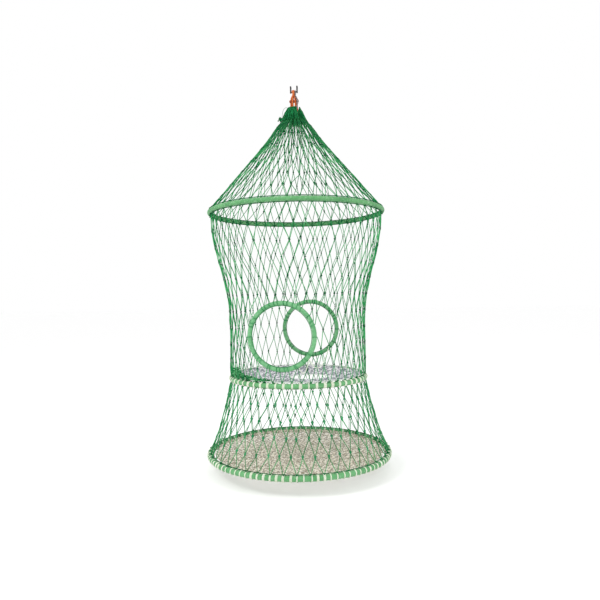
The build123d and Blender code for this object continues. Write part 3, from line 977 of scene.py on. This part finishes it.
def edge_rope(name, finish, rise):
    """The rope that edges a dense net, moved up and out by rise so that it shows over the hoop."""
    low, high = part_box(name + "_edge_rope")
    radius = (high.z - low.z) / 2
    middle = (high.z + low.z) / 2
    angle = 2 * pi * np.arange(900) / 900
    away = high.x - radius + rise
    path = np.column_stack([away * np.cos(angle), away * np.sin(angle), middle + rise + 0 * angle])
    edge = Skein()
    edge.twist(path, (0, 0, 1), radius, 0.05, 5, True)
    edge.piece(name + "_edge_cord", finish, name, "edge_cord", name + "_edge_rope")


def hatch_rim(middle_x, middle_y, radius):
    """The rope that edges the climb-through hole."""
    low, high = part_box("deck_net")
    angle = 2 * pi * np.arange(240) / 240
    x = middle_x + radius * np.cos(angle)
    y = middle_y + radius * np.sin(angle)
    far = np.hypot(x, y) / high.x
    path = np.column_stack([x, y, low.z + 0.004 + (high.z - low.z - 0.008) * far ** 2])
    rope = Skein()
    rope.twist(path, (0, 0, 1), HATCH_ROPE, 0.04, 5, True)
    rope.piece("deck_hatch_rope", EDGE_WHITE, "deck", "edge_cord")


def coat(node, finish):
    """Gives its finish to a CAD piece that is shown as it is."""
    coats = frame["nodes"][node].data.materials
    coats.clear()
    coats.append(finish)


# ---------------------------------------------------------------- camera and studio

def place_camera():
    eye = bpy.data.cameras.new("camera")
    eye.lens = EYE_LENS
    eye.shift_x, eye.shift_y = EYE_SHIFT
    camera = bpy.data.objects.new("camera", eye)
    bpy.context.collection.objects.link(camera)
    turn = radians(EYE_AZIMUTH)
    height = middle_height("floor_hoop_sleeve") + EYE_HEIGHT
    camera.location = (EYE_DISTANCE * sin(turn), -EYE_DISTANCE * cos(turn), height)
    camera.rotation_euler = (pi / 2, radians(EYE_ROLL), turn)
    bpy.context.scene.camera = camera


def light(name, place, power, wide):
    """A square lamp of so many watts and metres, aimed at the middle of the tower."""
    lamp = bpy.data.lights.new(name, "AREA")
    lamp.energy = power
    lamp.size = wide
    made = bpy.data.objects.new(name, lamp)
    bpy.context.collection.objects.link(made)
    made.location = place
    made.rotation_euler = (Vector(LAMPS_AIM) - Vector(place)).to_track_quat("-Z", "Y").to_euler()


def studio():
    """A pale floor and plain soft light."""
    low = cad_box[0].z - FLOOR_GAP
    ground = bpy.data.meshes.new("studio_floor")
    wide = 60.0
    corners = [(-wide, -wide, low), (wide, -wide, low), (wide, wide, low), (-wide, wide, low)]
    ground.from_pydata(corners, [], [(0, 1, 2, 3)])
    pale = Finish("studio_pale_floor")
    tone = pale.mix(pale.noise(2.0), paint(254, 254, 254), paint(255, 255, 255))
    ground.materials.append(pale.done(tone, 0.9))
    floor_piece = bpy.data.objects.new("studio_floor", ground)
    bpy.context.collection.objects.link(floor_piece)
    sky = bpy.data.worlds.new("studio_light")
    sky.use_nodes = True
    sky.node_tree.nodes["Background"].inputs["Color"].default_value = (1.0, 1.0, 1.0, 1.0)
    sky.node_tree.nodes["Background"].inputs["Strength"].default_value = 1.0
    bpy.context.scene.world = sky
    light("key_light", (-3.0, -4.0, 1.5), 160.0, 3.0)
    light("fill_light", (4.0, -2.5, 0.0), 60.0, 3.0)
    bpy.context.scene.view_settings.view_transform = "Standard"


# ---------------------------------------------------------------- build

place_camera()
hang_tail()

top_hoop = Hoop("top_hoop_sleeve")
deck_hoop = Hoop("deck_hoop_sleeve")
floor_hoop = Hoop("floor_hoop_sleeve")
doors = [Hoop("front_door_sleeve"), Hoop("rear_door_sleeve")]

wound_sleeve("top_hoop_tape", top_hoop, TOP_GREEN, "top_hoop", "top_hoop_sleeve")
wound_sleeve("deck_hoop_tape", deck_hoop, SLEEVE_GREEN, "deck", "deck_hoop_sleeve")
wound_sleeve("floor_hoop_tape", floor_hoop, SLEEVE_GREEN, "floor", "floor_hoop_sleeve")
wound_sleeve("front_door_tape", doors[0], DOOR_GREEN, "front_door", "front_door_sleeve")
wound_sleeve("rear_door_tape", doors[1], DOOR_GREEN, "rear_door", "rear_door_sleeve")

hang_net("cone", "cone_net", CONE_ROWS, "crown", "top_lift", CONE_GREEN, (KNOT_GREEN, 1.05),
         swell=CONE_SWELL)
wall = hang_net("upper_net", "upper_wall_net", WALL_ROWS, "top_hoop", "deck_lift", NET_GREEN,
                (KNOT_GREEN, 1.0), doors)
hang_net("lower_net", "lower_wall_net", SKIRT_ROWS, "deck", "floor_lift", NET_GREEN,
         (SKIRT_KNOT_GREEN, 1.3))

columns = 2 * pi * np.arange(COLUMNS) / COLUMNS
tie_hoop("top_hoop_lashing", top_hoop, "top_hoop", "top_hoop_ties", columns,
         ((radians(96), 0.9), (radians(-100), 0.9)), (radians(78), radians(-118)))
tie_hoop("deck_hoop_lashing", deck_hoop, "deck", "deck_hoop_ties", columns,
         ((radians(122), 1.3), (radians(-82), 0.7)), (radians(-118),))
tie_hoop("floor_hoop_lashing", floor_hoop, "floor", "floor_hoop_ties", columns + pi / COLUMNS,
         ((radians(84), 1.0),), (radians(112), radians(-118)))
tie_door(0, "front_door", PALE_TIE_GREEN)
tie_door(1, "rear_door", TIE_GREEN)
slack_lacing(doors[0], wall)
gathered_net(deck_hoop, 176, 262, 34)

lace_hoop("deck_hoop", deck_hoop, "deck", DECK_LACES, [2, 3, 4, 5])
lace_hoop("floor_hoop", floor_hoop, "floor", FLOOR_LACES, [2, 2, 3, 4])
edge_rope("deck", EDGE_WHITE, 0.008)
edge_rope("floor", FLOOR_BEIGE, 0.0)
hatch_rim(*HATCH)
dense_net("deck_netting", "deck_net", "deck", DECK_CORD, DECK_SHADED_WHITE, "deck_cord", [HATCH])
dense_net("floor_netting", "floor_net", "floor", FLOOR_CORD, FLOOR_BEIGE, "floor_cord")

draw_crown()
draw_sling()
draw_whipping()

coat("beam_clevis", CLEVIS_BLACK)
coat("safety_chain", CHAIN_ZINC)
coat("chain_quick_links", CHAIN_ZINC)
coat("crown_ring", RING_ZINC)
for node in frame["nodes"]:
    if node.endswith(("_tube", "_spigots")):
        coat(node, TUBE_STEEL)

studio()
